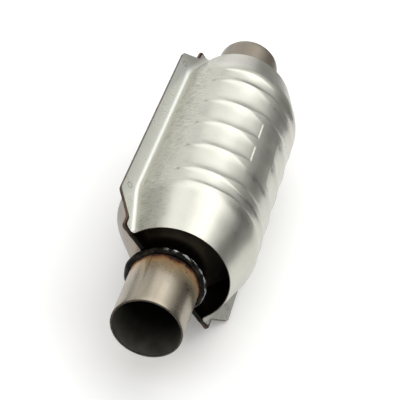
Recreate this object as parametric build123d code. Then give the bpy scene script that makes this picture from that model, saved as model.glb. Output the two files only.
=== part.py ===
from build123d import *
from math import asin, atan, atan2, cos, degrees, floor, hypot, radians, sin, tan
import os

# A round catalytic converter with a clamshell body and a heat shield over its upper half, in
# millimetres. It is built in its own frame: X is the pipe axis with the inlet at +X, the flange
# lies in the plane z = 0, and the upper half is on +Z. At the end every piece is rolled about X
# and moved to the pose in which the converter lies on a floor.

# Pipes
pipe_diameter = 57.15
pipe_wall = 1.5
pipe_sizing = 0.35
pipe_insertion = 14.0
pipe_chamfer = 0.4
neck_to_pipe_end = 61.0

# Catalyst bricks and what holds them
brick_diameter = 105.7
brick_length = 63.5
brick_gap = 8.0
brick_chamfer = 1.0
cell_pitch = 9.0
cell_wall = 1.4
brick_skin = 1.6
mat_thickness = 3.85
seal_width = 6.0
seal_setback = 2.1
spacer_sheet = 1.0
spacer_height = 7.0

# Shell halves
shell_sheet = 1.2
neck_clearance = 0.1
neck_length = 13.7
cone_length = 50.7
shell_round = 8.0
brick_to_shoulder = 2.1

# Flange outline, measured back from the end of the neck and out from the heat shield
flange_width = 14.4
corner_setback = 29.0
notch_setback = 13.5
notch_width = 11.2
tab_width = 11.0
tab_reach = 1.0
tab_corner = 2.5
tab_depth = 14.0
tab_waist_setback = 0.5
outline_round = 2.0

# Heat shield
shield_sheet = 0.7
shield_gap = 2.7
shield_rise = 5.7
rim_gap = 17.775
rim_setback = 1.0
shoulder_offset = 21.5
shoulder_round = 40.0
shield_tab_setback = 1.0
shield_tab_inset = 2.0
bend_radius = 2.5

# Stamped ribs and panels of the heat shield
rib_pitch = 34.0
rib_width = 10.0
ribs_to_cone = 8.1
panel_depth = 2.2
panel_ramp = 6.0
panel_tip_angle = 155.0
strip_half_width = 12.0
least_panel = 5.0

# Welds
weld_reach = 5.0
weld_back = 3.0
weld_height = 3.5
seam_bead = 0.8
spot_diameter = 6.0
spot_depth = 0.15
spot_setback = 40.0
spot_inset = 6.0

# How far a cutting solid runs past the sheet that it cuts
cut_over = 1.0

# Worked out from the sizes above
brick_radius = brick_diameter / 2
mat_radius = brick_radius + mat_thickness
shell_radius = mat_radius + shell_sheet
brick_centre_x = (brick_gap + brick_length) / 2
mat_length = brick_length - 2 * (seal_width + seal_setback)
shell_shoulder_x = brick_gap / 2 + brick_length + brick_to_shoulder
neck_start_x = shell_shoulder_x + cone_length
neck_end_x = neck_start_x + neck_length
pipe_start_x = neck_end_x - pipe_insertion
pipe_end_x = neck_end_x + neck_to_pipe_end
pipe_radius = pipe_diameter / 2
sized_radius = pipe_radius - pipe_sizing
weld_toe_x = neck_end_x + weld_reach
neck_radius = sized_radius + neck_clearance + shell_sheet
shield_radius = shell_radius + shield_gap
rim_radius = neck_radius + rim_gap
rim_x = neck_end_x - rim_setback
cone_x = shell_shoulder_x + shoulder_offset
ribbed_x = cone_x - ribs_to_cone
flange_half_width = shield_radius + flange_width
notch_half_width = rim_radius + notch_width
tab_half_width = rim_radius + tab_width
shield_flange_top = shell_sheet + shield_sheet
large = 4 * pipe_end_x


def two_ended_profile(half):
    """A face between the axis and the points (x, r) of one end, mirrored to the other end."""
    right = half + [(half[-1][0], 0)]
    left = [(-x, r) for x, r in reversed(right)]
    return make_face(Polyline(*left, *right, close=True))


def rounded(face, corner, radius):
    """A mirrored profile with its two corners at a point (x, r) rounded."""
    near = face.vertices().filter_by(lambda v: hypot(abs(v.X) - corner[0], v.Y - corner[1]) < 1e-6)
    return fillet(near, radius)


def slope_angle(run, drop):
    """The angle of a sloping line, in radians."""
    return atan2(drop, run)


def shell_body(inset, over=0.0):
    """The round solid inside the shell's outer surface, or inside its inner one with an inset."""
    angle = slope_angle(neck_start_x - shell_shoulder_x, shell_radius - neck_radius)
    shift = inset * tan(angle / 2)
    shoulder = (shell_shoulder_x - shift, shell_radius - inset)
    neck = (neck_start_x - shift, neck_radius - inset)
    face = two_ended_profile([shoulder, neck, (neck_end_x + over, neck_radius - inset)])
    face = rounded(face, shoulder, shell_round - inset)
    face = rounded(face, neck, shell_round + inset)
    return revolve(face, Axis.X, 360)


def above(height):
    """All of space over a height."""
    return Pos(0, 0, height + large / 2) * Box(large, large, large)


def outline(points):
    """A plate outline that repeats its points in all four quarters."""
    top = [(-x, y) for x, y in points] + list(reversed(points))
    bottom = [(x, -y) for x, y in points] + [(-x, -y) for x, y in reversed(points)]
    return make_face(Polyline(*top, *bottom, close=True))


def shell_outline():
    """The outline of the shell's flange, from the tab's tip back to the straight edge."""
    waist_y = tab_half_width - tab_depth
    tip_x = neck_end_x + tab_reach
    corner_x = neck_end_x - corner_setback
    notch_x = neck_end_x - notch_setback
    points = [
        (corner_x, flange_half_width),
        (notch_x, notch_half_width),
        (tip_x - tab_corner, tab_half_width),
        (tip_x, tab_half_width - tab_corner),
        (neck_end_x - tab_waist_setback, waist_y),
        (neck_end_x, neck_radius),
    ]
    face = outline(list(reversed(points)))
    return fillet(face.vertices().filter_by(lambda v: abs(v.Y) > waist_y + 1), outline_round)


def shield_outline():
    """The outline of the heat shield's flange, which follows the shell's and stops short at the tab."""
    tip_x = neck_end_x - shield_tab_setback
    corner_x = neck_end_x - corner_setback
    notch_x = neck_end_x - notch_setback
    points = [
        (corner_x, flange_half_width),
        (notch_x, notch_half_width),
        (notch_x + tab_corner, tab_half_width - shield_tab_inset),
        (tip_x - tab_corner, tab_half_width - shield_tab_inset),
        (tip_x, tab_half_width - shield_tab_inset - tab_corner),
        (rim_x - shield_tab_inset, rim_radius),
    ]
    face = outline(list(reversed(points)))
    return fillet(face.vertices().filter_by(lambda v: abs(v.Y) > rim_radius + 1), outline_round)


def plate(face, low, high):
    """A flat plate between two heights."""
    return Pos(0, 0, low) * extrude(face, high - low)


def shell_half():
    """The upper shell half: a drawn half tube with cones and necks, and its flange."""
    flange = plate(offset(shell_outline(), -seam_bead), 0, shell_sheet)
    outer = shell_body(0) & above(0)
    return outer + flange - shell_body(shell_sheet, cut_over)


def seam_weld(side):
    """The bead that closes the edge of the shell's flange on one side, +1 or -1 along Y."""
    full = shell_outline()
    rim = plate(full - offset(full, -seam_bead), -shell_sheet, shell_sheet)
    neck = Rot(0, 90, 0) * Cylinder(neck_radius, large)
    half = Pos(0, side * large / 2, 0) * Box(large, large, large)
    return (rim - neck) & half


def pipe():
    """The inlet pipe. Its inner end is sized down a little and pushed into the neck."""
    wire = Polyline(
        (pipe_start_x, pipe_radius - pipe_wall),
        (pipe_start_x, sized_radius),
        (weld_toe_x, sized_radius),
        (weld_toe_x, pipe_radius),
        (pipe_end_x, pipe_radius),
        (pipe_end_x, pipe_radius - pipe_wall),
        close=True,
    )
    tube = revolve(make_face(wire), Axis.X, 360)
    return chamfer(tube.edges().group_by(Axis.X)[-1], pipe_chamfer)


def pipe_weld():
    """The fillet bead that joins the neck's end to the inlet pipe, round the flange's edge."""
    crest_x = neck_end_x + weld_reach / 4
    arc = ThreePointArc(
        (neck_end_x - weld_back, neck_radius),
        (crest_x, neck_radius + weld_height),
        (weld_toe_x, pipe_radius),
    )
    foot = Polyline(
        (weld_toe_x, pipe_radius),
        (weld_toe_x, sized_radius),
        (neck_end_x, sized_radius),
        (neck_end_x, neck_radius),
        (neck_end_x - weld_back, neck_radius),
    )
    ring = revolve(make_face([arc, foot]), Axis.X, 360)
    return ring - plate(shell_outline(), -shell_sheet, shell_sheet)


def shield_profile(inset, over=0.0):
    """The lengthwise profile of the heat shield's outer surface, or of its inner one with an inset."""
    angle = slope_angle(rim_x - cone_x, shield_radius - rim_radius)
    shoulder = (cone_x - inset * tan(angle / 2), shield_radius - inset)
    rim_r = rim_radius - inset / cos(angle) - over * tan(angle)
    side = two_ended_profile([shoulder, (rim_x + over, rim_r)])
    return rounded(side, shoulder, shoulder_round - inset)


def shield_dome(inset, over=0.0):
    """The solid under that surface: round above the arc's centre, with upright walls below it."""
    side = shield_profile(inset, over)
    round_top = Pos(0, 0, shield_rise) * revolve(side, Axis.X, 360)
    walls = plate(side + mirror(side, Plane.XZ), shell_sheet - over, shield_rise)
    return (round_top & above(shield_rise)) + walls


def trough(start, end, floor_radius, centre_y, centre_z, inset):
    """A ring that cuts a trough with sloping sides. Its axis may lie off the dome's own."""
    angle = slope_angle(panel_ramp, panel_depth)
    slip = inset * tan(angle / 2)
    rise = panel_depth + 2 * shield_rise
    run = rise / tan(angle)
    low = floor_radius - inset
    floor_start = start + panel_ramp - slip
    floor_end = end - panel_ramp + slip
    far = floor_radius + 2 * rise
    wire = Polyline(
        (floor_start - run, far),
        (floor_start - run, low + rise),
        (floor_start, low),
        (floor_end, low),
        (floor_end + run, low + rise),
        (floor_end + run, far),
        close=True,
    )
    return Pos(0, centre_y, centre_z) * revolve(make_face(wire), Axis.X, 360)


def side_panel(start, end, side, inset):
    """A panel that stops with a step at the smooth central strip. It fades out at its other tip."""
    wall_angle = radians(90) + asin(strip_half_width / shield_radius)
    shift_angle = radians(panel_tip_angle - 90)
    shift = panel_depth / cos(wall_angle - shift_angle)
    centre_y = side * shift * cos(shift_angle)
    centre_z = shield_rise - shift * sin(shift_angle)
    step_y = strip_half_width - inset
    half = Pos(0, side * (step_y + large / 2), 0) * Box(large, large, large)
    return trough(start, end, shield_radius, centre_y, centre_z, inset) & half


def crossing_panel(start, end, inset):
    """A panel that runs over the top of the shield and fades out at both tips."""
    tip_share = sin(radians(panel_tip_angle))
    shift = panel_depth / (1 - tip_share)
    floor_radius = shield_radius + tip_share * shift
    return trough(start, end, floor_radius, 0, shield_rise - shift, inset)


def panel_spans():
    """The start and end of each panel on the inlet half, from the middle outwards."""
    pairs = floor((ribbed_x - rib_width / 2 - least_panel) / rib_pitch)
    starts = [i * rib_pitch + rib_width / 2 for i in range(pairs + 1)]
    ends = [(i + 1) * rib_pitch - rib_width / 2 for i in range(pairs)]
    return list(zip(starts, ends + [ribbed_x]))


def panels(inset):
    """All panels of the shield as a list of solids to take away from its dome."""
    cuts = []
    for number, (start, end) in enumerate(panel_spans()):
        for low, high in ((start, end), (-end, -start)):
            if number == 0:
                cuts += [side_panel(low, high, side, inset) for side in (-1, 1)]
            else:
                cuts.append(crossing_panel(low, high, inset))
    return [cut & above(shield_rise) for cut in cuts]


def spots():
    """The shallow round marks that the welding electrodes leave on the flange."""
    x = neck_end_x - spot_setback
    y = flange_half_width - spot_inset
    mark = Cylinder(spot_diameter / 2, 2 * spot_depth)
    return [Pos(i * x, j * y, shield_flange_top) * mark for i in (-1, 1) for j in (-1, 1)]


def bent(shape, height, inset, over, radius):
    """A dome standing on a plate at a height, with the corner between wall and plate rounded."""
    side = shield_profile(inset, over)
    walls = (side + mirror(side, Plane.XZ)).face().outer_wire()

    def at_wall(edge):
        middle = edge.position_at(0.5)
        on_end = abs(middle.Y) < rim_radius / 2
        return not on_end and Vertex(middle.X, middle.Y, 0).distance_to(walls) < 1e-3

    level = shape.edges().filter_by_position(Axis.Z, height, height)
    return fillet(level.filter_by(at_wall), radius)


def heat_shield():
    """The heat shield: a stamped sheet with ribs, panels, open ends and a bent-out flange."""
    outer = shield_dome(0) + plate(shield_outline(), shell_sheet, shield_flange_top)
    outer = bent(outer, shield_flange_top, 0, 0, bend_radius)
    for cut in panels(0):
        outer -= cut
    under = Pos(0, 0, shell_sheet - cut_over / 2) * Box(large, large, cut_over)
    inner = shield_dome(shield_sheet, cut_over) + under
    inner = bent(inner, shell_sheet, shield_sheet, cut_over, bend_radius + shield_sheet)
    for cut in panels(shield_sheet):
        inner -= cut
    shield = outer - inner
    for spot in spots():
        shield -= spot
    return shield


def brick():
    """The inlet-side ceramic brick, with open square channels along the gas flow."""
    body = Cylinder(brick_radius, brick_length)
    body = chamfer(body.edges(), brick_chamfer)
    reach = brick_radius - brick_skin
    hole = cell_pitch - cell_wall
    count = 2 * floor(brick_radius / cell_pitch) + 1
    cells = [
        Pos(p.position.X, p.position.Y)
        for p in GridLocations(cell_pitch, cell_pitch, count, count)
        if hypot(abs(p.position.X) + hole / 2, abs(p.position.Y) + hole / 2) < reach
    ]
    face = Sketch() + [cell * Rectangle(hole, hole) for cell in cells]
    channels = extrude(face, brick_length, both=True)
    return Pos(brick_centre_x, 0, 0) * Rot(0, 90, 0) * (body - channels)


def ring(start, end, inner, outer):
    """A plain ring round the axis."""
    length = end - start
    tube = Cylinder(outer, length) - Cylinder(inner, length)
    return Pos((start + end) / 2, 0, 0) * Rot(0, 90, 0) * tube


def mat():
    """The mat wrapped round the inlet-side brick."""
    half = mat_length / 2
    return ring(brick_centre_x - half, brick_centre_x + half, brick_radius, mat_radius)


def seal(end):
    """A wire-mesh ring at one end of the mat, +1 towards the inlet and -1 towards the middle."""
    near = brick_centre_x + end * mat_length / 2
    start, stop = sorted((near, near + end * seal_width))
    return ring(start, stop, brick_radius, mat_radius)


def spacer():
    """The channel-shaped sheet ring that keeps the two bricks apart."""
    half = brick_gap / 2
    inner = mat_radius - spacer_height
    body = ring(-half, half, inner, mat_radius)
    return body - ring(-half + spacer_sheet, half - spacer_sheet, 0, mat_radius - spacer_sheet)


def to_rest(shape):
    """Rolls a piece about the pipe axis until the shell's body and its flange's edge are on the
    floor, and moves it so that the whole stands over the middle of its own width."""
    edge = hypot(flange_half_width, shell_sheet)
    roll = asin(shell_radius / edge) - atan(shell_sheet / flange_half_width)
    shield_reach = shield_radius + shield_rise * sin(roll)
    shift = (shell_radius - shield_reach) / 2
    return Pos(0, shift, shell_radius) * Rot(-degrees(roll), 0, 0) * shape


def turned_over(shape):
    """The lower shell half: the same stamping turned over about the pipe axis."""
    return Rot(180, 0, 0) * shape


def other_end(shape):
    """The outlet end's copy of an inlet piece."""
    return Rot(0, 0, 180) * shape


nodes = {
    "heat_shield": heat_shield(),
    "shell_upper": shell_half(),
    "inlet_pipe": pipe(),
    "inlet_weld": pipe_weld(),
    "seam_weld_right": seam_weld(1),
    "seam_weld_left": seam_weld(-1),
    "front_brick": brick(),
    "front_mat": mat(),
    "front_brick_inlet_seal": seal(1),
    "front_brick_middle_seal": seal(-1),
    "brick_spacer": spacer(),
}
nodes["shell_lower"] = turned_over(nodes["shell_upper"])
nodes["outlet_pipe"] = other_end(nodes["inlet_pipe"])
nodes["outlet_weld"] = other_end(nodes["inlet_weld"])
nodes["rear_brick"] = other_end(nodes["front_brick"])
nodes["rear_mat"] = other_end(nodes["front_mat"])
nodes["rear_brick_outlet_seal"] = other_end(nodes["front_brick_inlet_seal"])
nodes["rear_brick_middle_seal"] = other_end(nodes["front_brick_middle_seal"])

os.makedirs("parts", exist_ok=True)
for name, shape in nodes.items():
    export_step(to_rest(shape), f"parts/{name}.step")
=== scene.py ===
from math import asin, atan, cos, hypot, pi, radians, sin, tan

import bmesh
import bpy
import numpy as np
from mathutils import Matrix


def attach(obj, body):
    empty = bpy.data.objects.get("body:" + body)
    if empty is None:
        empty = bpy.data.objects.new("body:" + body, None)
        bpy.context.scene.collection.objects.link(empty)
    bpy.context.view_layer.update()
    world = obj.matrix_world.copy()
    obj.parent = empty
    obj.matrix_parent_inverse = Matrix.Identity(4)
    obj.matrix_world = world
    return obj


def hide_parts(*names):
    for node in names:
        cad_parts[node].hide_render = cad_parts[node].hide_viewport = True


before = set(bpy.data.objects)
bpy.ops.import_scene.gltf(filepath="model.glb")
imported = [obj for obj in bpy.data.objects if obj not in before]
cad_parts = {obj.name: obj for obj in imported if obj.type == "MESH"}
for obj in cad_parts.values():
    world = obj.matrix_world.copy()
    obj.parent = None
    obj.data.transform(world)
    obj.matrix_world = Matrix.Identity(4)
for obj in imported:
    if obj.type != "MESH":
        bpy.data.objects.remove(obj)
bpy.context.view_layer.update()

# The two catalyst bricks. Each is one extruded ceramic honeycomb, fired and washcoated, with thin
# square cells along the gas flow. They sit end to end in the shell and touch nothing but their mats.
shell_radius = 57.9
shell_sheet = 1.2
shield_radius = 60.6
shield_rise = 5.7
flange_reach = 75.0
roll = asin(shell_radius / hypot(flange_reach, shell_sheet)) - atan(shell_sheet / flange_reach)
lift = shell_radius
shift = (shell_radius - shield_radius - shield_rise * sin(roll)) / 2


def lying(points):
    """Points of the flat assembly in millimetres, rolled and lifted to where it lies, in metres."""
    p = np.asarray(points, float)
    y = p[..., 1] * cos(roll) + p[..., 2] * sin(roll) + shift
    z = p[..., 2] * cos(roll) - p[..., 1] * sin(roll) + lift
    return np.stack([p[..., 0], y, z], -1) / 1000


def make_piece(name, points, faces, finishes, face_finish=None, crease=40):
    """One piece from points and faces of the flat assembly. Edges over the crease angle stay sharp."""
    mesh = bpy.data.meshes.new(name)
    mesh.from_pydata(lying(points).tolist(), [], faces)
    for finish in finishes:
        mesh.materials.append(finish)
    if face_finish is not None:
        mesh.polygons.foreach_set("material_index", np.asarray(face_finish, np.int32))
    shape = bmesh.new()
    shape.from_mesh(mesh)
    bmesh.ops.recalc_face_normals(shape, faces=shape.faces)
    shape.to_mesh(mesh)
    shape.free()
    mesh.polygons.foreach_set("use_smooth", [True] * len(mesh.polygons))
    mesh.set_sharp_from_angle(angle=radians(crease))
    piece = bpy.data.objects.new(name, mesh)
    bpy.context.scene.collection.objects.link(piece)
    return piece


def fit(piece, slot, *nodes):
    """Carries a piece on the converter and lets it stand for its solids."""
    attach(piece, "root")
    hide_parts(*nodes)


class Finish:
    """The finish of a surface, with short ways to add noise, ramps, mixes and relief. Its place and
    its x, y and z are those on the flat assembly, in millimetres."""

    def __init__(self, name, metal, rough):
        self.material = bpy.data.materials.new(name)
        self.material.use_nodes = True
        self.nodes = self.material.node_tree.nodes
        self.links = self.material.node_tree.links
        self.shader = self.nodes["Principled BSDF"]
        self.shader.inputs["Metallic"].default_value = metal
        self.shader.inputs["Roughness"].default_value = rough
        mapping = self.node("ShaderNodeMapping")
        mapping.inputs["Scale"].default_value = (1000, 1000, 1000)
        mapping.inputs["Rotation"].default_value = (roll, 0, 0)
        back = (0, lift * sin(roll) - shift * cos(roll), -lift * cos(roll) - shift * sin(roll))
        mapping.inputs["Location"].default_value = back
        self.links.new(self.node("ShaderNodeTexCoord").outputs["Object"], mapping.inputs["Vector"])
        self.place = mapping.outputs["Vector"]
        split = self.node("ShaderNodeSeparateXYZ")
        self.links.new(self.place, split.inputs[0])
        self.x, self.y, self.z = split.outputs

    def node(self, kind):
        return self.nodes.new(kind)

    def feed(self, source, target):
        """Feeds a socket from another socket, or sets it to a number or to a colour's three numbers."""
        if isinstance(source, bpy.types.NodeSocket):
            self.links.new(source, target)
        else:
            target.default_value = (*source, 1.0) if isinstance(source, tuple) else source

    def math(self, work, first, second=0.0):
        node = self.node("ShaderNodeMath")
        node.operation = work
        self.feed(first, node.inputs[0])
        self.feed(second, node.inputs[1])
        return node.outputs[0]

    def plus(self, first, second):
        return self.math("ADD", first, second)

    def minus(self, first, second):
        return self.math("SUBTRACT", first, second)

    def times(self, first, second):
        return self.math("MULTIPLY", first, second)

    def unsigned(self, value):
        return self.math("ABSOLUTE", value)

    def distance(self, across, up):
        """The distance to a point that is so far across and so far up."""
        return self.math("SQRT", self.plus(self.times(across, across), self.times(up, up)))

    def point(self, x, y, z):
        """A place made of three values."""
        node = self.node("ShaderNodeCombineXYZ")
        for value, socket in zip((x, y, z), node.inputs):
            self.feed(value, socket)
        return node.outputs[0]

    def stretched(self, x, y, z):
        """The place with each of its values times a factor, which draws the noise out or squeezes it."""
        return self.point(self.times(self.x, x), self.times(self.y, y), self.times(self.z, z))

    def noise(self, place, scale, detail=3.0, rough=0.55):
        """A cloudy value between 0 and 1. A scale of 1 gives clouds of about a millimetre."""
        node = self.node("ShaderNodeTexNoise")
        self.links.new(place, node.inputs["Vector"])
        node.inputs["Scale"].default_value = scale
        node.inputs["Detail"].default_value = detail
        node.inputs["Roughness"].default_value = rough
        return node.outputs["Fac"]

    def ramp(self, value, low, high, out_low=0.0, out_high=1.0):
        """Maps a value from one span to another, smoothly and with no overshoot."""
        node = self.node("ShaderNodeMapRange")
        node.interpolation_type = "SMOOTHSTEP"
        self.feed(value, node.inputs["Value"])
        spans = {"From Min": low, "From Max": high, "To Min": out_low, "To Max": out_high}
        for socket, number in spans.items():
            node.inputs[socket].default_value = number
        return node.outputs["Result"]

    def scale_of_colours(self, value, *stops):
        """A colour that follows a value through stops of (value, colour)."""
        node = self.node("ShaderNodeValToRGB")
        low, high = stops[0][0], stops[-1][0]
        elements = node.color_ramp.elements
        while len(elements) < len(stops):
            elements.new(0.5)
        for element, (at, colour) in zip(elements, stops):
            element.position = (at - low) / (high - low)
            element.color = (*colour, 1.0)
        share = self.math("DIVIDE", self.minus(value, low), high - low)
        self.links.new(share, node.inputs[0])
        return node.outputs["Color"]

    def blend(self, share, first, second):
        """Goes from the first colour to the second as the share goes from 0 to 1."""
        node = self.node("ShaderNodeMix")
        node.data_type = "RGBA"
        self.feed(share, node.inputs[0])
        self.feed(first, node.inputs[6])
        self.feed(second, node.inputs[7])
        return node.outputs[2]

    def relief(self, height, depth, after=None):
        """A relief of a depth in millimetres, on top of an earlier one."""
        node = self.node("ShaderNodeBump")
        node.inputs["Distance"].default_value = depth / 1000
        self.links.new(height, node.inputs["Height"])
        if after is not None:
            self.links.new(after, node.inputs["Normal"])
        return node.outputs["Normal"]

    def finished(self, colour, rough=None, relief=None):
        """Feeds the shader and gives the material."""
        self.feed(colour, self.shader.inputs["Base Color"])
        if rough is not None:
            self.feed(rough, self.shader.inputs["Roughness"])
        if relief is not None:
            self.links.new(relief, self.shader.inputs["Normal"])
        return self.material


def washcoated_ceramic():
    """Matt fired ceramic with a blotchy brown-yellow coat."""
    f = Finish("washcoated ceramic", 0.0, 0.9)
    blotch = f.ramp(f.noise(f.place, 0.09, 4), 0.35, 0.7)
    coat = f.blend(blotch, (0.42, 0.33, 0.21), (0.60, 0.52, 0.38))
    return f.finished(coat, relief=f.relief(f.noise(f.place, 1.8, 2), 0.1))


brick_radius = 52.85
brick_length = 63.5
brick_gap = 8.0
cell_pitch = 1.9
cell_wall = 0.4


def honeycomb(name, node, middle_x, finish):
    """A round brick of open square cells. The lattice's rim is drawn out to the round skin."""
    half = int(brick_radius / cell_pitch) + 1
    span = range(-half, half)
    reach = brick_radius - 0.3 * cell_pitch
    cells = [(i, j) for i in span for j in span if hypot(i + 0.5, j + 0.5) * cell_pitch < reach]
    corner_use, edge_use = {}, {}
    for i, j in cells:
        corners = [(i, j), (i + 1, j), (i + 1, j + 1), (i, j + 1)]
        for k, corner in enumerate(corners):
            corner_use[corner] = corner_use.get(corner, 0) + 1
            edge = frozenset((corner, corners[(k + 1) % 4]))
            edge_use[edge] = edge_use.get(edge, 0) + 1
    ends = (middle_x - brick_length / 2, middle_x + brick_length / 2)
    points, faces, number = [], [], {}
    for x in ends:
        for (i, j), count in corner_use.items():
            out = brick_radius / (hypot(i, j) * cell_pitch) if count < 4 else 1.0
            number[x, i, j] = len(points)
            points.append((x, i * cell_pitch * out, j * cell_pitch * out))
    inside = (cell_pitch - cell_wall) / 2
    for i, j in cells:
        corners = [(i, j), (i + 1, j), (i + 1, j + 1), (i, j + 1)]
        solid = min(corner_use[c] for c in corners) < 4
        rims = []
        for x in ends:
            outer = [number[x, a, b] for a, b in corners]
            if solid:
                faces.append(outer)
                continue
            rims.append([len(points) + k for k in range(4)])
            for a, b in ((-1, -1), (1, -1), (1, 1), (-1, 1)):
                points.append((x, (i + 0.5) * cell_pitch + a * inside, (j + 0.5) * cell_pitch + b * inside))
            for k in range(4):
                n = (k + 1) % 4
                faces.append([outer[k], outer[n], rims[-1][n], rims[-1][k]])
        if rims:
            faces += [[rims[0][k], rims[0][k - 1], rims[1][k - 1], rims[1][k]] for k in range(4)]
    for edge, count in edge_use.items():
        if count == 1:
            (a, b), (rear, front) = edge, ends
            faces.append([number[rear, *a], number[rear, *b], number[front, *b], number[front, *a]])
    fit(make_piece(name, points, faces, [finish]), "brick", node)


ceramic = washcoated_ceramic()
brick_middle = (brick_gap + brick_length) / 2
honeycomb("front_ceramic_brick", "front_brick", brick_middle, ceramic)
honeycomb("rear_ceramic_brick", "rear_brick", -brick_middle, ceramic)

# The spacer between the bricks. It is a stainless strip rolled to a channel section and bent round,
# and it keeps the bricks apart in the middle of the shell.
mat_radius = 56.7
spacer_sheet = 1.0
spacer_height = 7.0
channel_corner = 0.6


def ring_faces(rows, count):
    """The faces between rows of points, where the last row and the last point lead to the first."""
    r, c = np.meshgrid(np.arange(rows), np.arange(count), indexing="ij")
    after, beside = (r + 1) % rows, (c + 1) % count
    corners = [r * count + c, r * count + beside, after * count + beside, after * count + c]
    return np.stack(corners, -1).reshape(-1, 4)


def turned(profile, angles, swell=None):
    """Points and faces of a closed profile (x, r) turned round the pipe axis, in a number of even
    steps or at given angles. swell(x, angle, r) gives the final x and r."""
    angle = np.linspace(0, 2 * pi, angles, endpoint=False) if isinstance(angles, int) else angles
    x, r = np.array(profile, float).T
    x, angle = np.meshgrid(x, angle, indexing="ij")
    r = np.repeat(r[:, None], angle.shape[1], 1)
    if swell is not None:
        x, r = swell(x, angle, r)
    points = np.stack([x, r * np.cos(angle), r * np.sin(angle)], -1)
    return points.reshape(-1, 3), ring_faces(*angle.shape).tolist()


def plain_sheet():
    """Rolled stainless sheet, satin, with fine lengthwise grain."""
    f = Finish("stainless sheet", 1.0, 0.35)
    grain = f.noise(f.stretched(2.0, 0.1, 0.1), 1.0, 4)
    colour = f.blend(f.ramp(grain, 0.3, 0.7), (0.42, 0.41, 0.38), (0.56, 0.55, 0.52))
    return f.finished(colour, f.ramp(grain, 0.3, 0.7, 0.28, 0.42), f.relief(grain, 0.02))


half_gap = brick_gap / 2
inner_rim = mat_radius - spacer_height
web = mat_radius - spacer_sheet
channel = [
    (-half_gap, inner_rim), (-half_gap, mat_radius - channel_corner),
    (-half_gap + channel_corner, mat_radius), (half_gap - channel_corner, mat_radius),
    (half_gap, mat_radius - channel_corner), (half_gap, inner_rim),
    (half_gap - spacer_sheet, inner_rim), (half_gap - spacer_sheet, web),
    (-half_gap + spacer_sheet, web), (-half_gap + spacer_sheet, inner_rim),
]
points, faces = turned(channel, 160)
fit(make_piece("spacer_channel_ring", points, faces, [plain_sheet()], crease=30), "spacer", "brick_spacer")

# The mats round the bricks. Each is a strip of ceramic fibre with mica flakes, cut with straight
# ends, wrapped once round its brick and squeezed between brick and shell.
mat_length = 47.3
mat_steps = 720
fray_depth = 0.25


def fibre_mat():
    """Off-white fibre mat, with tangled fibres and small glittering flakes."""
    f = Finish("ceramic fibre mat", 0.0, 0.95)
    tangle = f.noise(f.stretched(0.5, 2.0, 2.0), 1.0, 5, 0.7)
    flakes = f.ramp(f.noise(f.place, 1.4, 2), 0.62, 0.70)
    colour = f.blend(f.ramp(tangle, 0.3, 0.7), (0.62, 0.58, 0.48), (0.84, 0.82, 0.74))
    return f.finished(f.blend(flakes, colour, (0.45, 0.36, 0.20)), relief=f.relief(tangle, 0.3))


fibre = fibre_mat()
chance = np.random.default_rng(7)
for side, name, node in ((1, "front_fibre_mat", "front_mat"), (-1, "rear_fibre_mat", "rear_mat")):
    middle = side * brick_middle
    low, high = middle - mat_length / 2, middle + mat_length / 2
    fray = chance.uniform(0, fray_depth, mat_steps)
    thick = np.linspace(brick_radius, mat_radius, 6)
    along = np.linspace(low, high, 14)[1:-1]
    edge = [(low, r) for r in thick] + [(x, mat_radius) for x in along]
    edge += [(high, r) for r in thick[::-1]] + [(x, brick_radius) for x in along[::-1]]

    def frayed(x, angle, r):
        """The cut ends are a little ragged."""
        at_end = abs(x - middle) > mat_length / 2 - 1
        return x - np.where(at_end, np.sign(x - middle) * fray, 0), r

    points, faces = turned(edge, mat_steps, frayed)
    fit(make_piece(name, points, faces, [fibre]), "mat", node)

# The seals at the ends of the mats. Each is a ring of knitted stainless wire, pressed to a square
# section, that keeps the gas off the fibre.
seal_width = 6.0
wire_radius = 0.16
seal_turns = 110
steps_a_turn = 12
core_share = 0.8


def knitted_wire():
    """Dull stainless wire, browned by heat here and there."""
    f = Finish("knitted wire", 1.0, 0.4)
    tint = f.ramp(f.noise(f.place, 0.3, 3), 0.4, 0.65)
    return f.finished(f.blend(tint, (0.42, 0.40, 0.37), (0.30, 0.22, 0.15)))


def thin_wire(path, radius, sides):
    """Points and faces of a wire along a closed path round the pipe axis."""
    ahead = np.roll(path, -1, 0) - np.roll(path, 1, 0)
    ahead /= np.linalg.norm(ahead, axis=1, keepdims=True)
    across = np.cross(ahead, (1.0, 0.0, 0.0))
    across /= np.linalg.norm(across, axis=1, keepdims=True)
    over = np.cross(ahead, across)
    turn = np.linspace(0, 2 * pi, sides, endpoint=False)[None, :, None]
    points = path[:, None] + radius * (np.cos(turn) * across[:, None] + np.sin(turn) * over[:, None])
    return points.reshape(-1, 3), ring_faces(len(path), sides)


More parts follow.
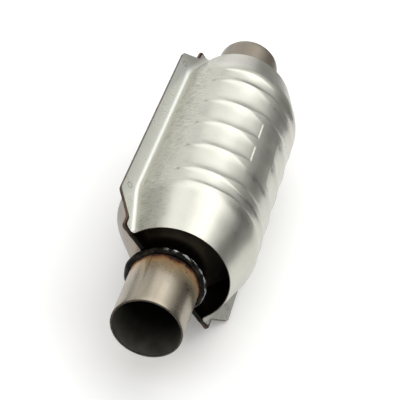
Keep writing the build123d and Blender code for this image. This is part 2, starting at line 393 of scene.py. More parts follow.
def wire_ring(start):
    """Wires wound both ways round a ring with a square section, over a tight core."""
    half_x, half_r = seal_width / 2 - wire_radius, (mat_radius - brick_radius) / 2 - wire_radius
    centre_x, centre_r = start + seal_width / 2, (mat_radius + brick_radius) / 2
    steps = np.linspace(0, 2 * pi, seal_turns * steps_a_turn, endpoint=False)
    all_points, all_faces, used = [], [], 0
    for way, phase, shrink in ((1, 0.0, 1.0), (-1, 0.4, 0.97), (1, pi, 0.9), (-1, pi + 0.4, 0.87)):
        turn = way * seal_turns * steps + phase
        square = np.maximum(abs(np.cos(turn)), abs(np.sin(turn))) ** 0.7
        x = centre_x + shrink * half_x * np.cos(turn) / square
        r = centre_r + shrink * half_r * np.sin(turn) / square
        path = np.stack([x, r * np.cos(steps), r * np.sin(steps)], -1)
        points, faces = thin_wire(path, wire_radius, 4)
        all_points.append(points)
        all_faces.append(faces + used)
        used += len(points)
    corners = np.array([(-half_x, -half_r), (-half_x, half_r), (half_x, half_r), (half_x, -half_r)])
    points, faces = turned(corners * core_share + (centre_x, centre_r), 120)
    all_points.append(points)
    all_faces.append(np.array(faces) + used)
    return np.concatenate(all_points), np.concatenate(all_faces).tolist()


wire = knitted_wire()
seal_setback = (mat_length / 2, -mat_length / 2 - seal_width)
for side, end, name in ((1, "inlet", "front_brick_inlet"), (1, "middle", "front_brick_middle"),
                        (-1, "middle", "rear_brick_middle"), (-1, "outlet", "rear_brick_outlet")):
    start = side * brick_middle + seal_setback[(end == "middle") == (side > 0)]
    fit(make_piece(f"{name}_knitted_ring", *wire_ring(start), [wire]), "wire_mesh", f"{name}_seal")

# The two shell halves, deep-drawn from stainless sheet, with cones, half necks and a flat flange.
# Welding heat has coloured them nearly black at the necks. They keep their solids' shape.
def tinted_shell():
    """Satin stainless sheet, straw over the cones and nearly black at the necks."""
    f = Finish("heat tinted shell", 1.0, 0.42)
    cloud = f.noise(f.place, 0.05, 4, 0.6)
    fine = f.noise(f.stretched(0.357, 1.14, 1.14), 1.0, 4)
    along = f.plus(f.unsigned(f.x), f.times(cloud, 14.0))
    tint = f.scale_of_colours(
        along, (70, (0.357, 0.336, 0.307)), (112, (0.336, 0.3, 0.257)), (124, (0.286, 0.229, 0.164)),
        (131, (0.065, 0.047, 0.032)), (137, (0.020, 0.0185, 0.014)), (150, (0.018, 0.017, 0.013)))
    smudge = f.ramp(f.noise(f.place, 0.045, 5, 0.65), 0.42, 0.75, 0.0, 0.25)
    colour = f.blend(smudge, tint, (0.171, 0.143, 0.114))
    return f.finished(colour, f.ramp(cloud, 0.3, 0.7, 0.36, 0.48), f.relief(fine, 0.02))


tinted = tinted_shell()
for name in ("shell_upper", "shell_lower"):
    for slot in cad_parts[name].material_slots:
        slot.material = tinted

# The edge welds that close the flange of the shell. A thin bead runs along each side of the
# converter, from the inlet neck round both tabs to the outlet neck.
seam_bead = 0.8
seam_ripple = 1.7
seam_step = 0.45
outline_corners = [(134.0, 29.4), (133.5, 44.3), (135.0, 55.8), (132.5, 58.3), (120.5, 58.5), (105.0, 75.0)]
outline_round = 2.8


def rounded_path(corners, radius, spacing):
    """A path through corners in a plane, rounded, with points an even distance apart, and how far
    along it each point is."""
    path = [np.array(corners[0], float)]
    for before, corner, after in zip(corners, corners[1:], corners[2:]):
        before, corner, after = (np.array(p, float) for p in (before, corner, after))
        u, v = before - corner, after - corner
        room = min(radius, np.linalg.norm(u) / 2, np.linalg.norm(v) / 2)
        u, v = corner + u / np.linalg.norm(u) * room, corner + v / np.linalg.norm(v) * room
        for t in np.linspace(0, 1, 7):
            path.append((1 - t) ** 2 * u + 2 * t * (1 - t) * corner + t * t * v)
    path.append(np.array(corners[-1], float))
    path = np.array(path)
    length = np.concatenate([[0], np.cumsum(np.linalg.norm(np.diff(path, axis=0), axis=1))])
    at = np.linspace(0, length[-1], int(length[-1] / spacing) + 1)
    return np.stack([np.interp(at, length, path[:, k]) for k in (0, 1)], -1), at


def browned_bead():
    """Thin weld along the flange: oxide brown, redder on the tabs and glassy black by the necks."""
    f = Finish("browned seam weld", 1.0, 0.4)
    cloud = f.ramp(f.noise(f.place, 0.12, 4), 0.35, 0.65)
    along = f.scale_of_colours(
        f.unsigned(f.x), (90, (0.16, 0.14, 0.10)), (116, (0.19, 0.12, 0.08)), (127, (0.20, 0.09, 0.06)),
        (133, (0.12, 0.055, 0.04)), (136, (0.04, 0.035, 0.03)))
    off_axis = f.ramp(f.unsigned(f.y), 46, 54)
    colour = f.blend(cloud, along, (0.08, 0.06, 0.045))
    colour = f.blend(off_axis, (0.014, 0.013, 0.011), colour)
    rough = f.plus(f.times(off_axis, 0.2), 0.22)
    return f.finished(colour, rough, f.relief(f.noise(f.place, 2.0, 3), 0.1))


def step_up(value, low, high):
    """A smooth step from 0 to 1."""
    t = np.clip((value - low) / (high - low), 0, 1)
    return t * t * (3 - 2 * t)


def seam(side):
    """One bead: a rounded strip over the edges of both sheets, rippled, and thicker by the necks."""
    corners = outline_corners + [(-x, y) for x, y in reversed(outline_corners)]
    path, at = rounded_path(corners, outline_round, seam_step)
    ahead = np.gradient(path, axis=0)
    ahead /= np.linalg.norm(ahead, axis=1, keepdims=True)
    out = np.stack([ahead[:, 1], -ahead[:, 0]], -1)
    turn = np.linspace(0, 2 * pi, 14, endpoint=False)
    wave = 1 - 0.22 * (0.5 + 0.5 * np.sin(2 * pi * at / seam_ripple + 1.5 * np.sin(at / 9))) ** 2
    bulge = np.maximum(np.cos(turn), -0.6)
    outward = (bulge[None] - 1) * seam_bead * 0.62 - (1 - wave[:, None]) * seam_bead * (bulge[None] > 0)
    height = shell_sheet * np.sign(np.sin(turn)) * abs(np.sin(turn)) ** 0.7
    by_neck = step_up(abs(path[:, 0]), 131, 133.5) * (1 - step_up(path[:, 1], 46, 52))
    heavy = 1 + (0.75 - 1.1 * (1 - wave)) * by_neck
    flat = path[:, None] + outward[..., None] * out[:, None]
    points = np.concatenate([flat, (heavy[:, None] * height)[..., None]], -1)
    points[..., 1] *= side
    count = len(turn)
    faces = ring_faces(len(path), count)[:-count].tolist()
    last = (len(path) - 1) * count
    return points.reshape(-1, 3), faces + [list(range(count)), list(range(last, last + count))]


browned = browned_bead()
for side, name in ((1, "right"), (-1, "left")):
    fit(make_piece(f"{name}_edge_bead", *seam(side), [browned]), "weld", f"seam_weld_{name}")

# The two pipe stubs: cut lengths of welded stainless tube, sized down a little at the inner end
# and pushed into the necks. Welding has tinted them straw to brown next to the bead.
pipe_radius = 28.575
sized_radius = 28.225
bore_radius = 27.075
pipe_start_x = 120.0
weld_toe_x = 139.0
pipe_end_x = 195.0
tube_seam = radians(162)


def angle_round(f):
    """The angle round the pipe axis, from the right flange up over the top."""
    return f.math("ARCTAN2", f.z, f.y)


def unrolled(f, angle, along, around, apart=0.0):
    """The place on a round surface laid out flat, with the way along and the way round times a factor
    each. Noises a little apart don't repeat each other."""
    return f.point(f.times(f.x, along), f.times(angle, around), apart)


def tinted_tube(name, dull):
    """Drawn stainless tube, finely brushed round, with heat colours that fade away from the weld."""
    f = Finish(name, 1.0, 0.3)
    angle = angle_round(f)
    cloud = f.noise(f.place, 0.05, 3)
    wisps = f.noise(unrolled(f, angle, 0.10, 3.0), 1.0, 4)
    along = f.plus(f.unsigned(f.x), f.times(f.minus(wisps, 0.55), 12.0))
    tint = f.scale_of_colours(
        along, (136, (0.0214, 0.0143, 0.0143)), (139, (0.0357, 0.0143, 0.0143)),
        (140.5, (0.121, 0.0393, 0.0214)), (142, (0.33, 0.150, 0.060)), (145, (0.44, 0.27, 0.125)),
        (151, (0.37, 0.285, 0.175)), (162, (0.325, 0.287, 0.225)), (196, (0.315, 0.280, 0.220)))
    brushed = f.noise(unrolled(f, angle, 3.0, 4.0), 1.0, 5, 0.7)
    streaks = f.noise(unrolled(f, angle, 0.03, 9.0, 3.0), 1.0, 3)
    colour = f.blend(f.ramp(streaks, 0.3, 0.7, 0.0, 0.18), tint, (0.214, 0.186, 0.15))
    on_seam = f.ramp(f.unsigned(f.minus(angle, tube_seam)), 0.0, 0.03, 0.7, 0.0)
    burnt = f.times(on_seam, f.ramp(along, 146, 160, 1.0, 0.15))
    colour = f.blend(burnt, colour, (0.0357, 0.0286, 0.0214))
    colour = f.blend(dull, colour, (0.15, 0.123, 0.092))
    f.feed(f.ramp(along, 144, 164, 0.3, 1.0 - 0.3 * dull), f.shader.inputs["Metallic"])
    brush_rough = f.ramp(brushed, 0.3, 0.7, 0.22 + 0.2 * dull, 0.32 + 0.2 * dull)
    rough = f.plus(brush_rough, f.ramp(cloud, 0.4, 0.7, 0.0, 0.06))
    return f.finished(colour, rough, f.relief(brushed, 0.007))


def shaded_bore():
    """The inside of the tube: dull grey-brown, with painted shade that makes it darker further in."""
    f = Finish("bore with painted shade", 0.6, 0.5)
    angle = angle_round(f)
    cloud = f.noise(unrolled(f, angle, 0.06, 3.0), 1.0, 4)
    # Painted shade: the bore is painted nearly black further in from its mouth.
    deep = f.ramp(f.unsigned(f.x), 150, 196)
    oxide = f.blend(f.ramp(cloud, 0.3, 0.7), (0.12, 0.117, 0.098), (0.18, 0.173, 0.148))
    on_seam = f.ramp(f.unsigned(f.minus(angle, tube_seam)), 0.02, 0.05, 0.85, 0.0)
    colour = f.blend(deep, (0.018, 0.017, 0.013), oxide)
    colour = f.blend(on_seam, colour, (0.015, 0.012, 0.01))
    relief = f.relief(f.noise(f.place, 1.2, 4), 0.04)
    return f.finished(colour, f.ramp(cloud, 0.3, 0.7, 0.42, 0.55), relief)


def sawn_end():
    """The cut end of the tube: brownish steel with fine saw lines."""
    f = Finish("sawn tube end", 1.0, 0.45)
    lines = f.noise(f.stretched(3.0, 0.5, 0.5), 1.0, 3)
    colour = f.blend(f.ramp(lines, 0.3, 0.7), (0.045, 0.038, 0.032), (0.10, 0.085, 0.07))
    return f.finished(colour, relief=f.relief(lines, 0.02))


inside_finish = [shaded_bore(), sawn_end()]
tube_finish = {"inlet": tinted_tube("tinted tube", 0.0), "outlet": tinted_tube("dull tinted tube", 0.5)}
tube_profile = [
    (pipe_start_x, sized_radius), (weld_toe_x - 0.6, sized_radius), (weld_toe_x, pipe_radius),
    *[(x, pipe_radius) for x in np.linspace(weld_toe_x, pipe_end_x - 0.45, 12)[1:]],
    (pipe_end_x - 0.12, pipe_radius - 0.12), (pipe_end_x, pipe_radius - 0.42),
    (pipe_end_x - 0.03, bore_radius + 0.35), (pipe_end_x - 0.25, bore_radius + 0.05),
    *[(x, bore_radius) for x in np.linspace(pipe_end_x - 0.8, pipe_start_x, 12)],
]
# The first 13 bands of faces are the outside, those up to band 18 the cut end, and the rest the bore.
outside_rows, mouth_rows = 13, 18


def tube_swell(x, angle, r):
    """The lengthwise weld of the tube: rolled flat outside, a low ridge inside."""
    off = abs((angle - tube_seam + pi) % (2 * pi) - pi) * bore_radius
    ridge = np.where(r < bore_radius + 0.1, -0.35, 0.02) * np.exp(-((off / 0.9) ** 2))
    return x, r + ridge


even = np.linspace(0, 2 * pi, 192, endpoint=False)
angles = np.sort(np.concatenate([even, tube_seam + np.linspace(-0.09, 0.09, 22)]))
for turn, name in ((1, "inlet"), (-1, "outlet")):
    points, faces = turned(tube_profile, angles, tube_swell)
    points = points * (turn, turn, 1)
    row = np.arange(len(faces)) // len(angles)
    finish = np.where(row < outside_rows, 0, np.where(row < mouth_rows, 2, 1))
    stub = make_piece(f"{name}_tube", points, faces, [tube_finish[name], *inside_finish], finish)
    fit(stub, "pipe", f"{name}_pipe")

# The fillet welds between necks and tubes. Each was laid in one pass round the neck, so it has
# overlapping ripples, an uneven toe, a low place at one side where it starts, and a little spatter.
neck_radius = 29.525
bead_back = 131.0
bead_height = 4.8
bead_steps = 900
ripple_pitch = 2.1
ripple_depth = 0.22
start_angle = pi
start_dip = 1.5
large_drops = [(radians(104), 141.0, 0.7), (radians(100), 146.5, 0.6)]
small_drops = 16


def weld_bead():
    """Dark, glassy weld metal: brown-black oxide, with silvery streaks along its brushed crest, which are
    clean metal and also painted glints, set more towards the top of the bead.
    """
    f = Finish("weld bead", 1.0, 0.3)
    angle = angle_round(f)
    cloud = f.noise(f.place, 0.16, 4, 0.6)
    colour = f.blend(f.ramp(cloud, 0.42, 0.72), (0.007, 0.007, 0.006), (0.030, 0.023, 0.018))
    streak = f.noise(unrolled(f, angle, 0.8, 5.0, 5.0), 1.0, 3, 0.5)
    # The streaks are weighted towards the top of the bead: painted glints, besides clean metal.
    crest = f.times(f.ramp(f.distance(f.y, f.z), 31.8, 33.2), f.ramp(f.z, 2.0, 26.0, 0.15, 1.0))
    bare_and_painted_glint = f.times(f.ramp(streak, 0.49, 0.60), crest)
    colour = f.blend(bare_and_painted_glint, colour, (0.45, 0.46, 0.47))
    relief = f.relief(f.noise(f.place, 0.7, 3), 0.07)
    return f.finished(colour, f.ramp(cloud, 0.3, 0.7, 0.16, 0.28), relief)


def bead_ring(seed):
    """One pass of weld, as a closed ring with chevron ripples, and the generator for its spatter."""
    draw = np.random.default_rng(seed)
    waves = [(n, draw.uniform(0, 2 * pi), draw.normal() / n ** 0.6) for n in (2, 3, 5, 8, 13, 21)]

    def wander(angle, shift):
        return sum(a * np.sin(n * angle + p + shift) for n, p, a in waves)

    top = [(bead_back + (weld_toe_x - bead_back) * t, t) for t in np.linspace(0, 1, 22)]
    profile = [(x, neck_radius * (1 - t) + pipe_radius * t) for x, t in top]
    profile += [(weld_toe_x, sized_radius), (bead_back, neck_radius - 0.4)]
    ripples = round(2 * pi * neck_radius / ripple_pitch)

    def laid(x, angle, r):
        t = np.clip((x - bead_back) / (weld_toe_x - bead_back), 0, 1)
        on_top = (np.arange(len(profile)) < len(top))[:, None]
        hump = np.sin(pi * t ** 1.4) ** 0.6 * on_top
        dip = start_dip * np.exp(-((angle - start_angle) / 0.6) ** 2)
        height = bead_height + 0.35 * wander(angle, 0.0) - dip
        chevron = angle * ripples + 3.0 * (2 * t - 1) ** 2 + 0.8 * wander(angle, 2.0)
        uneven = 0.6 + 0.4 * np.sin(3 * angle)
        ripple = ripple_depth * uneven * (0.5 + 0.5 * np.cos(chevron)) ** 1.2
        toe = 0.45 * wander(angle, 1.0) * np.sin(pi * t) * on_top
        return x + toe, r + hump * (height - ripple)

    points, faces = turned(profile, bead_steps, laid)
    return points, faces, draw


def spatter(draw):
    """Small frozen drops on the tube next to the bead. Each has an angle, a place along it and a size."""
    drops = large_drops + [
        (draw.uniform(0, 2 * pi), weld_toe_x + draw.exponential(4.0), draw.uniform(0.25, 0.5))
        for _ in range(small_drops)]
    points, faces = [], []
    rings, sides = 5, 10
    for angle, x, size in drops:
        base = len(points)
        out = np.array([0, cos(angle), sin(angle)])
        side = np.array([0, -sin(angle), cos(angle)])
        for i in range(rings):
            climb = (i / rings) * pi / 2
            flat = size * cos(climb)
            from_axis = pipe_radius - 0.1 + 0.8 * size * sin(climb)
            for j in range(sides):
                turn = 2 * pi * j / sides
                foot = np.array([x + flat * cos(turn), 0, 0])
                points.append(foot + out * from_axis + side * flat * sin(turn))
        for i in range(rings - 1):
            low, high = base + i * sides, base + (i + 1) * sides
            for j in range(sides):
                k = (j + 1) % sides
                faces.append([low + j, low + k, high + k, high + j])
        faces.append([base + (rings - 1) * sides + j for j in range(sides)])
        faces.append([base + j for j in range(sides)])
    return points, faces


bead = weld_bead()
for turn, name, seed in ((1, "inlet", 11), (-1, "outlet", 12)):
    points, faces, draw = bead_ring(seed)
    drops, drop_faces = spatter(draw)
    faces += [[k + len(points) for k in face] for face in drop_faces]
    points = np.concatenate([points, drops]) * (turn, turn, 1)
    fit(make_piece(f"{name}_fillet_bead", points, faces, [bead], crease=75), "weld", f"{name}_weld")

# The heat shield over the upper half: thin aluminised sheet, stamped with ribs and shallow panels,
# open at both ends and folded out to a flange that is spot-welded to the shell's.
shield_sheet = 0.7
cone_x = 91.1
shoulder_round = 40.0
rim_x = 133.0
rim_radius = 47.3
bend_width, bend_height = 5.2, 3.4
flange_top = 1.9
flange_corners = [(0, 75.0), (105, 75.0), (120.5, 58.5), (123, 56.3), (130.5, 56.3), (133, 53.8),
                  (133, 47.3)]
corner_columns = [104, 105, 106, 118.5, 119.5, 120.5, 127, 128, 129, 130, 131, 132]
strip_half_width = 12.0
panel_depth = 1.35
# Each panel's middle, half its length, its depth, and whether it stops at the smooth strip on top.
panels = [(17, 17, panel_depth, True), (51, 17, panel_depth, False), (77.5, 8.8, 0.75 * panel_depth, False)]
# How wide the panels are and how deep they may be, by an angle in degrees: 90 on top of the shield,
# and more down either side.
panel_widths = [(88, 0.69), (103, 0.69), (108, 0.77), (115, 0.94), (125, 1.0), (135, 0.98), (145, 0.88),
                (155, 0.79)]
depths_to_strip = [(90, 0.5), (103, 0.55), (108, 0.8), (115, 1.2), (125, 1.25), (135, 0.9), (145, 0.5),
                   (155, 0.0), (170, -0.8)]
depths_over_top = [(90, 0.75), (103, 0.85), (115, 1.2), (125, 1.25), (135, 0.9), (145, 0.5), (155, 0.0),
                   (170, -0.8)]
# Each rib between panels ends in a small dimple on either side, a little nearer to the inlet than it.
rib_pitch = 34.0
tip_shift = 3.5
tip_x = [tip_shift + n * rib_pitch for n in range(-2, 3)]
tip_angle = 154.5
tip_depth, tip_along, tip_across = 0.9, 1.4, 2.4
spot_x, spot_y, spot_ring, spot_depth = 94.5, 68.6, 2.5, 0.22
wave_height = 0.04


def soft_min(a, b, width):
    """The smaller of two values, rounded off where they meet."""
    share = np.clip(0.5 + 0.5 * (b - a) / width, 0, 1)
    return b * (1 - share) + a * share - width * share * (1 - share)


def outer_radius(x):
    """The shield's radius along the pipe axis: a round body, a rounded shoulder and a cone."""
    slope = (shield_radius - rim_radius) / (rim_x - cone_x)
    room = shoulder_round * tan(atan(slope) / 2)
    start, end = cone_x - room, cone_x + room * cos(atan(slope))
    x = abs(x)
    on_arc = np.clip(x - start, 0, end - start)
    arc = shield_radius - shoulder_round + np.sqrt(shoulder_round ** 2 - on_arc ** 2)
    return np.where(x < end, arc, shield_radius - slope * (x - cone_x))


def flowing(value, table, blur=3):
    """A smooth curve through a table of (place, height): straight runs, rounded off over the blur."""
    places, heights = zip(*table)
    fine = np.linspace(places[0] - 2 * blur, places[-1] + 2 * blur, 900)
    bell = np.hanning(max(3, int(2 * blur / (fine[1] - fine[0]))))
    wide = np.pad(np.interp(fine, places, heights), len(bell), "edge")
    smooth = np.convolve(wide, bell / bell.sum(), "same")[len(bell):-len(bell)]
    return np.interp(value, fine, smooth)


def sunk(x, angle):
    """How deep the panels are dished at each place: crest to crest halfway up the side, narrower and
    shallower towards their tips and towards the smooth strip, where they stop at a small step. The
    dimples at the tips of the ribs are added to them."""
    side = np.degrees(np.where(angle > pi / 2, angle, pi - angle))
    wide = flowing(side, panel_widths)
    to_strip, over_top = flowing(side, depths_to_strip), flowing(side, depths_over_top)
    step = step_up(abs(shield_radius * np.cos(angle)), strip_half_width - 0.3, strip_half_width + 0.45)
    total = np.zeros(np.broadcast(x, angle).shape)
    for middle, half, depth, stops in panels:
        off = abs(abs(x) - middle) / (half * wide)
        deep = soft_min(depth * (1 - off ** 2.3), to_strip if stops else over_top, 0.35)
        deep = -soft_min(-deep, 0 * deep, 0.2)
        total = np.maximum(total, deep * step if stops else deep)
    across = np.radians(side - tip_angle) * shield_radius
    for tip in tip_x:
        total = total + tip_depth * np.exp(-(across / tip_across) ** 2 - ((x - tip) / tip_along) ** 2)
    return total


def shield_columns():
    """Places along the pipe axis, close together where the sheet bends sharply."""
    x = [*np.arange(0, rim_x, 1.7), rim_x - 0.35, rim_x, *corner_columns]
    for middle, half, *_ in panels:
        for edge in (middle - half, middle + half, middle - 0.7 * half, middle + 0.7 * half):
            x += list(edge + np.arange(-1.8, 1.9, 0.6))
    for tip in tip_x:
        x += list(tip + np.arange(-2.4, 2.5, 0.8))
    x += list(np.arange(spot_x - 4, spot_x + 4.1, 0.4))
    x = np.unique(np.round(np.abs(x), 3))
    keep = [x[0]]
    for value in x[1:]:
        if value - keep[-1] > 0.45:
            keep.append(value)
    keep[-1] = rim_x
    return np.concatenate([-np.array(keep[:0:-1]), keep])


def pressed_shield():
    """The outer surface of the shield as a grid of points, from edge to edge over the top: flange,
    fold, straight wall, round top, and the same down the other side."""
    x = shield_columns()[:, None]
    radius = outer_radius(x)
    spread = np.linspace(-1.2, 1.2, 9)
    edge = np.mean([np.interp(np.minimum(abs(x) + s, rim_x), *zip(*flange_corners)) for s in spread], 0)
    bend = np.minimum(bend_width, np.maximum(edge - radius - 0.05, 0.05))
    flange_share = np.linspace(0, 1, 17)[None]
    flange_y = edge + (radius + bend - edge) * flange_share
    ring = np.hypot(abs(x) - spot_x, flange_y - spot_y)
    flange_z = flange_top - spot_depth * np.exp(-(((ring - spot_ring) / 0.5) ** 2))
    turn = np.linspace(0, pi / 2, 9)[None, 1:]
    bend_y = radius + bend - bend * np.sin(turn)
    bend_z = flange_top + bend_height * bend / bend_width * (1 - np.cos(turn))
    wall_z = (bend_z[:, -1:] + shield_rise) / 2
    angle = np.linspace(pi, pi / 2, 52)
    beside_strip = strip_half_width + np.array([-0.7, -0.3, 0.0, 0.2, 0.45, 0.8, 1.3])
    strip = pi / 2 + np.arcsin(beside_strip / shield_radius)
    tip = radians(tip_angle) + np.arange(-4, 5) * 0.016
    angle = np.sort(np.concatenate([angle, strip, tip]))[::-1]
    angle = angle[np.concatenate([[True], -np.diff(angle) > 0.0045])]
    angle = np.concatenate([angle, pi - angle[-2::-1]])[None]
    waves = np.sin(x / 7.1 + 2 * angle) + np.sin(x / 11.3 - 5 * angle)
    waves = waves + np.sin(3.1 + x / 4.7 + 9 * angle)
    fade = step_up(radius, 40, 60) * step_up(rim_x - abs(x), 0, 12)
    r = radius - sunk(x, angle) + wave_height * (waves - 3) * fade
    arc_y, arc_z = r * np.cos(angle), shield_rise + r * np.sin(angle)
    side_y = np.concatenate([flange_y, bend_y, radius], 1)
    side_z = np.concatenate([flange_z, bend_z, wall_z], 1)
    y = np.concatenate([-side_y, arc_y, side_y[:, ::-1]], 1)
    z = np.concatenate([side_z, arc_z, side_z[:, ::-1]], 1)
    return np.stack([x + 0 * y, y, z], -1)


def sheet_of(outer):
    """Points and faces of a closed sheet under a surface, and which finish each face has."""
    along, across = np.gradient(outer, axis=0), np.gradient(outer, axis=1)
    normal = np.cross(along, across)
    normal /= np.linalg.norm(normal, axis=-1, keepdims=True)
    normal *= np.sign(normal[len(normal) // 2, normal.shape[1] // 2, 2])
    inner = outer - shield_sheet * normal
    rows, count = outer.shape[:2]
    r, c = np.meshgrid(np.arange(rows - 1), np.arange(count - 1), indexing="ij")
    corners = [r * count + c, r * count + c + 1, (r + 1) * count + c + 1, (r + 1) * count + c]
    top = np.stack(corners, -1).reshape(-1, 4)
    under = top + rows * count
    border = [(0, c) for c in range(count)] + [(r, count - 1) for r in range(1, rows)]
    border += [(rows - 1, c) for c in range(count - 2, -1, -1)] + [(r, 0) for r in range(rows - 2, 0, -1)]
    border = np.array([r * count + c for r, c in border])
    after = np.roll(border, -1)
    rim = np.stack([border, after, after + rows * count, border + rows * count], -1)
    finish = [0] * len(top) + [1] * len(under) + [2] * len(rim)
    points = np.concatenate([outer.reshape(-1, 3), inner.reshape(-1, 3)])
    return points, np.concatenate([top, under, rim]).tolist(), finish


def draw_marks(f, angle, side):
    """Fine dark marks on the side beside the fold, where the sheet was drawn into the die."""
    drawn = f.noise(unrolled(f, angle, 1.5, 8.0, 1.0), 1.0, 4, 0.65)
    down_side = f.ramp(side, radians(56), radians(74))
    by_fold = f.times(down_side, f.ramp(side, radians(90), radians(98), 1.0, 0.2))
    above = f.ramp(f.z, 5.0, 7.5)
    return f.times(f.ramp(drawn, 0.47, 0.62), f.times(by_fold, above))


def tip_shade(f, side):
    """Faint painted shade in the dimple at the tip of each rib, and none past the last ribs."""
    along = f.math("FLOORED_MODULO", f.plus(f.x, rib_pitch / 2 - tip_shift), rib_pitch)
    along = f.minus(along, rib_pitch / 2)
    across = f.times(f.minus(side, radians(tip_angle - 90)), 40.0)
    away = f.plus(f.times(along, along), f.times(across, across))
    ribbed = f.ramp(f.unsigned(f.minus(f.x, tip_shift)), 74, 80, 1.0, 0.0)
    return f.times(f.ramp(away, 0.5, 4.5, 0.25, 0.0), ribbed)


def spot_shade(f):
    """A thin dark ring round the mark of each spot weld."""
    away = f.distance(f.minus(f.unsigned(f.x), spot_x), f.minus(f.unsigned(f.y), spot_y))
    return f.ramp(f.unsigned(f.minus(away, spot_ring)), 0.1, 0.75, 0.6, 0.0)


def aluminised_sheet():
    """Satin aluminised steel with fine spangle and grain, warmer low on the sides and dull at the rear
    end. The flange has painted light on the left and painted shade on the right."""
    f = Finish("aluminised sheet", 1.0, 0.38)
    f.feed(f.ramp(f.z, 4.0, 11.0, 0.6, 1.0), f.shader.inputs["Metallic"])
    angle = f.math("ARCTAN2", f.minus(f.unsigned(f.z), shield_rise), f.y)
    side = f.unsigned(f.minus(angle, pi / 2))
    cloud = f.noise(f.place, 0.035, 4, 0.6)
    spangle = f.noise(f.place, 0.9, 2, 0.5)
    fine = f.noise(unrolled(f, angle, 2.4, 9.0, 2.0), 1.0, 4, 0.6)
    marks = draw_marks(f, angle, side)
    colour = f.blend(f.ramp(cloud, 0.35, 0.7), (0.5, 0.498, 0.443), (0.557, 0.553, 0.49))
    colour = f.blend(f.times(f.ramp(fine, 0.4, 0.7), 0.12), colour, (0.357, 0.35, 0.307))
    warm = f.ramp(f.plus(side, f.times(cloud, 0.25)), radians(68), radians(82), 0.0, 0.45)
    colour = f.blend(warm, colour, (0.48, 0.468, 0.385))
    # Painted light and shade on the flange: the same sheet is painted lighter on the left and darker on the
    # right.
    flat = f.ramp(f.z, 2.6, 4.5, 1.0, 0.0)
    left = f.ramp(f.y, -40, 40, 1.0, 0.0)
    colour = f.blend(f.times(flat, left), colour, (0.64, 0.65, 0.60))
    colour = f.blend(f.times(flat, f.minus(0.9, left)), colour, (0.33, 0.33, 0.30))
    colour = f.blend(f.ramp(f.x, -112, -86, 0.6, 0.0), colour, (0.33, 0.31, 0.26))
    colour = f.blend(f.times(marks, 0.5), colour, (0.186, 0.171, 0.143))
    # Painted shade in the dimples at the rib tips.
    colour = f.blend(tip_shade(f, side), colour, (0.15, 0.14, 0.12))
    colour = f.blend(spot_shade(f), colour, (0.114, 0.107, 0.0857))
    rough = f.plus(f.ramp(cloud, 0.35, 0.7, 0.28, 0.35), f.ramp(spangle, 0.3, 0.7, -0.02, 0.04))
    relief = f.relief(spangle, 0.010, f.relief(fine, 0.02, f.relief(marks, 0.08)))
    return f.finished(colour, rough, relief)


def burnt_and_shaded_inside():
    """The inside of the shield: dull, browned by heat, with painted shade that makes it nearly black."""
    f = Finish("burnt inside with painted shade", 0.8, 0.55)
    cloud = f.ramp(f.noise(f.place, 0.06, 4), 0.35, 0.7)
    # Painted shade: the nearly black colours stand for the shade inside the gap, over the heat browning.
    colour = f.blend(cloud, (0.012, 0.012, 0.0095), (0.034, 0.031, 0.025))
    return f.finished(colour, relief=f.relief(cloud, 0.05))


def cut_edge():
    """The sheared edge of the sheet, grey-brown steel with fine tear lines."""
    f = Finish("cut edge", 1.0, 0.5)
    tear = f.noise(f.stretched(1.43, 1.43, 0.286), 1.0, 3)
    colour = f.blend(f.ramp(tear, 0.35, 0.65), (0.143, 0.121, 0.0929), (0.257, 0.236, 0.2))
    return f.finished(colour, relief=f.relief(tear, 0.05))


sheet_finish = [aluminised_sheet(), burnt_and_shaded_inside(), cut_edge()]
points, faces, finish = sheet_of(pressed_shield())
stamping = make_piece("shield_stamping", points, faces, sheet_finish, finish, crease=60)
fit(stamping, "heat_shield", "heat_shield")

# The studio: a pale floor, walls that glow softly in front of the converter and in a few broad
# patches round it, a narrow dark card for the dark band along its top, and the camera above the
# inlet end, where the photograph was taken.
def pale_floor():
    """Matt white paper with the faintest mottle."""
    f = Finish("pale floor", 0.0, 0.9)
    f.shader.inputs["Emission Color"].default_value = (1, 1, 1, 1)
    f.shader.inputs["Emission Strength"].default_value = 0.12
    cloud = f.noise(f.place, 0.01, 3)
    return f.finished(f.blend(cloud, (0.90, 0.90, 0.89), (0.94, 0.94, 0.93)))


bpy.ops.mesh.primitive_plane_add(size=12, location=(0, 0, 0))
floor = bpy.context.object
floor.name = "studio_floor"
floor.data.materials.append(pale_floor())

world = bpy.data.worlds.new("studio")
world.use_nodes = True
room = world.node_tree
direction = room.nodes.new("ShaderNodeTexCoord").outputs["Generated"]
bpy.context.scene.world = world


def towards(azimuth, elevation):
    """A direction, in degrees round from +X and up from the floor."""
    a, e = radians(azimuth), radians(elevation)
    return cos(e) * cos(a), cos(e) * sin(a), sin(e)


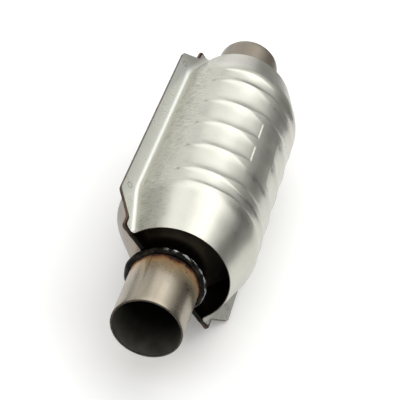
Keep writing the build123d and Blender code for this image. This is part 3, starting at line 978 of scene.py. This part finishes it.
def patch(azimuth, elevation, inner, outer):
    """A soft round patch of the walls: 1 up to the inner angle from its middle, 0 past the outer."""
    dot = room.nodes.new("ShaderNodeVectorMath")
    dot.operation = "DOT_PRODUCT"
    room.links.new(direction, dot.inputs[0])
    dot.inputs[1].default_value = towards(azimuth, elevation)
    fade = room.nodes.new("ShaderNodeMapRange")
    fade.interpolation_type = "SMOOTHSTEP"
    room.links.new(dot.outputs["Value"], fade.inputs["Value"])
    fade.inputs["From Min"].default_value = cos(radians(outer))
    fade.inputs["From Max"].default_value = cos(radians(inner))
    return fade.outputs["Result"]


def lit(level, where, change):
    """The brightness of the walls, changed by an amount in a patch."""
    node = room.nodes.new("ShaderNodeMath")
    node.operation = "MULTIPLY_ADD"
    room.links.new(where, node.inputs[0])
    node.inputs[1].default_value = change
    if isinstance(level, float):
        node.inputs[2].default_value = level
    else:
        room.links.new(level, node.inputs[2])
    return node.outputs[0]


walls = lit(0.07, patch(0, 40, 30, 105), 0.90)
glows = [(-162, 6, 1.45), (-135, 24, 1.0), (-150, 60, 1.45), (130, 60, 1.8), (175, 42, 1.45),
         (150, 42, 0.65), (154, 24, 0.7), (100, 42, 0.9)]
for azimuth, elevation, glow in glows:
    walls = lit(walls, patch(azimuth, elevation, 2, 25), glow)
walls = lit(walls, patch(-161, 34, 2, 15), 0.3)
room.links.new(walls, room.nodes["Background"].inputs["Strength"])
room.nodes["Background"].inputs["Color"].default_value = (1, 1, 1, 1)

bpy.ops.mesh.primitive_plane_add(size=1)
card = bpy.context.object
card.name = "black_card"
card.scale = (0.8, 0.13, 1)
card.rotation_euler = (radians(90), 0, radians(38))
card.location = (-0.19, 0.27, 0.068)
card.data.materials.append(Finish("black card", 0.0, 0.9).finished((0.3, 0.3, 0.3)))
card.visible_camera = card.visible_diffuse = card.visible_shadow = False

camera_data = bpy.data.cameras.new("camera")
camera = bpy.data.objects.new("camera", camera_data)
bpy.context.scene.collection.objects.link(camera)
camera.location = (0.96614, 0.15149, 0.79071)
camera.rotation_euler = (radians(52.2790), radians(-4.8715), radians(103.0358))
camera_data.lens = 127.559
camera_data.shift_x = 0.0044
camera_data.shift_y = -0.0021
bpy.context.scene.camera = camera
bpy.context.scene.view_settings.view_transform = "Standard"
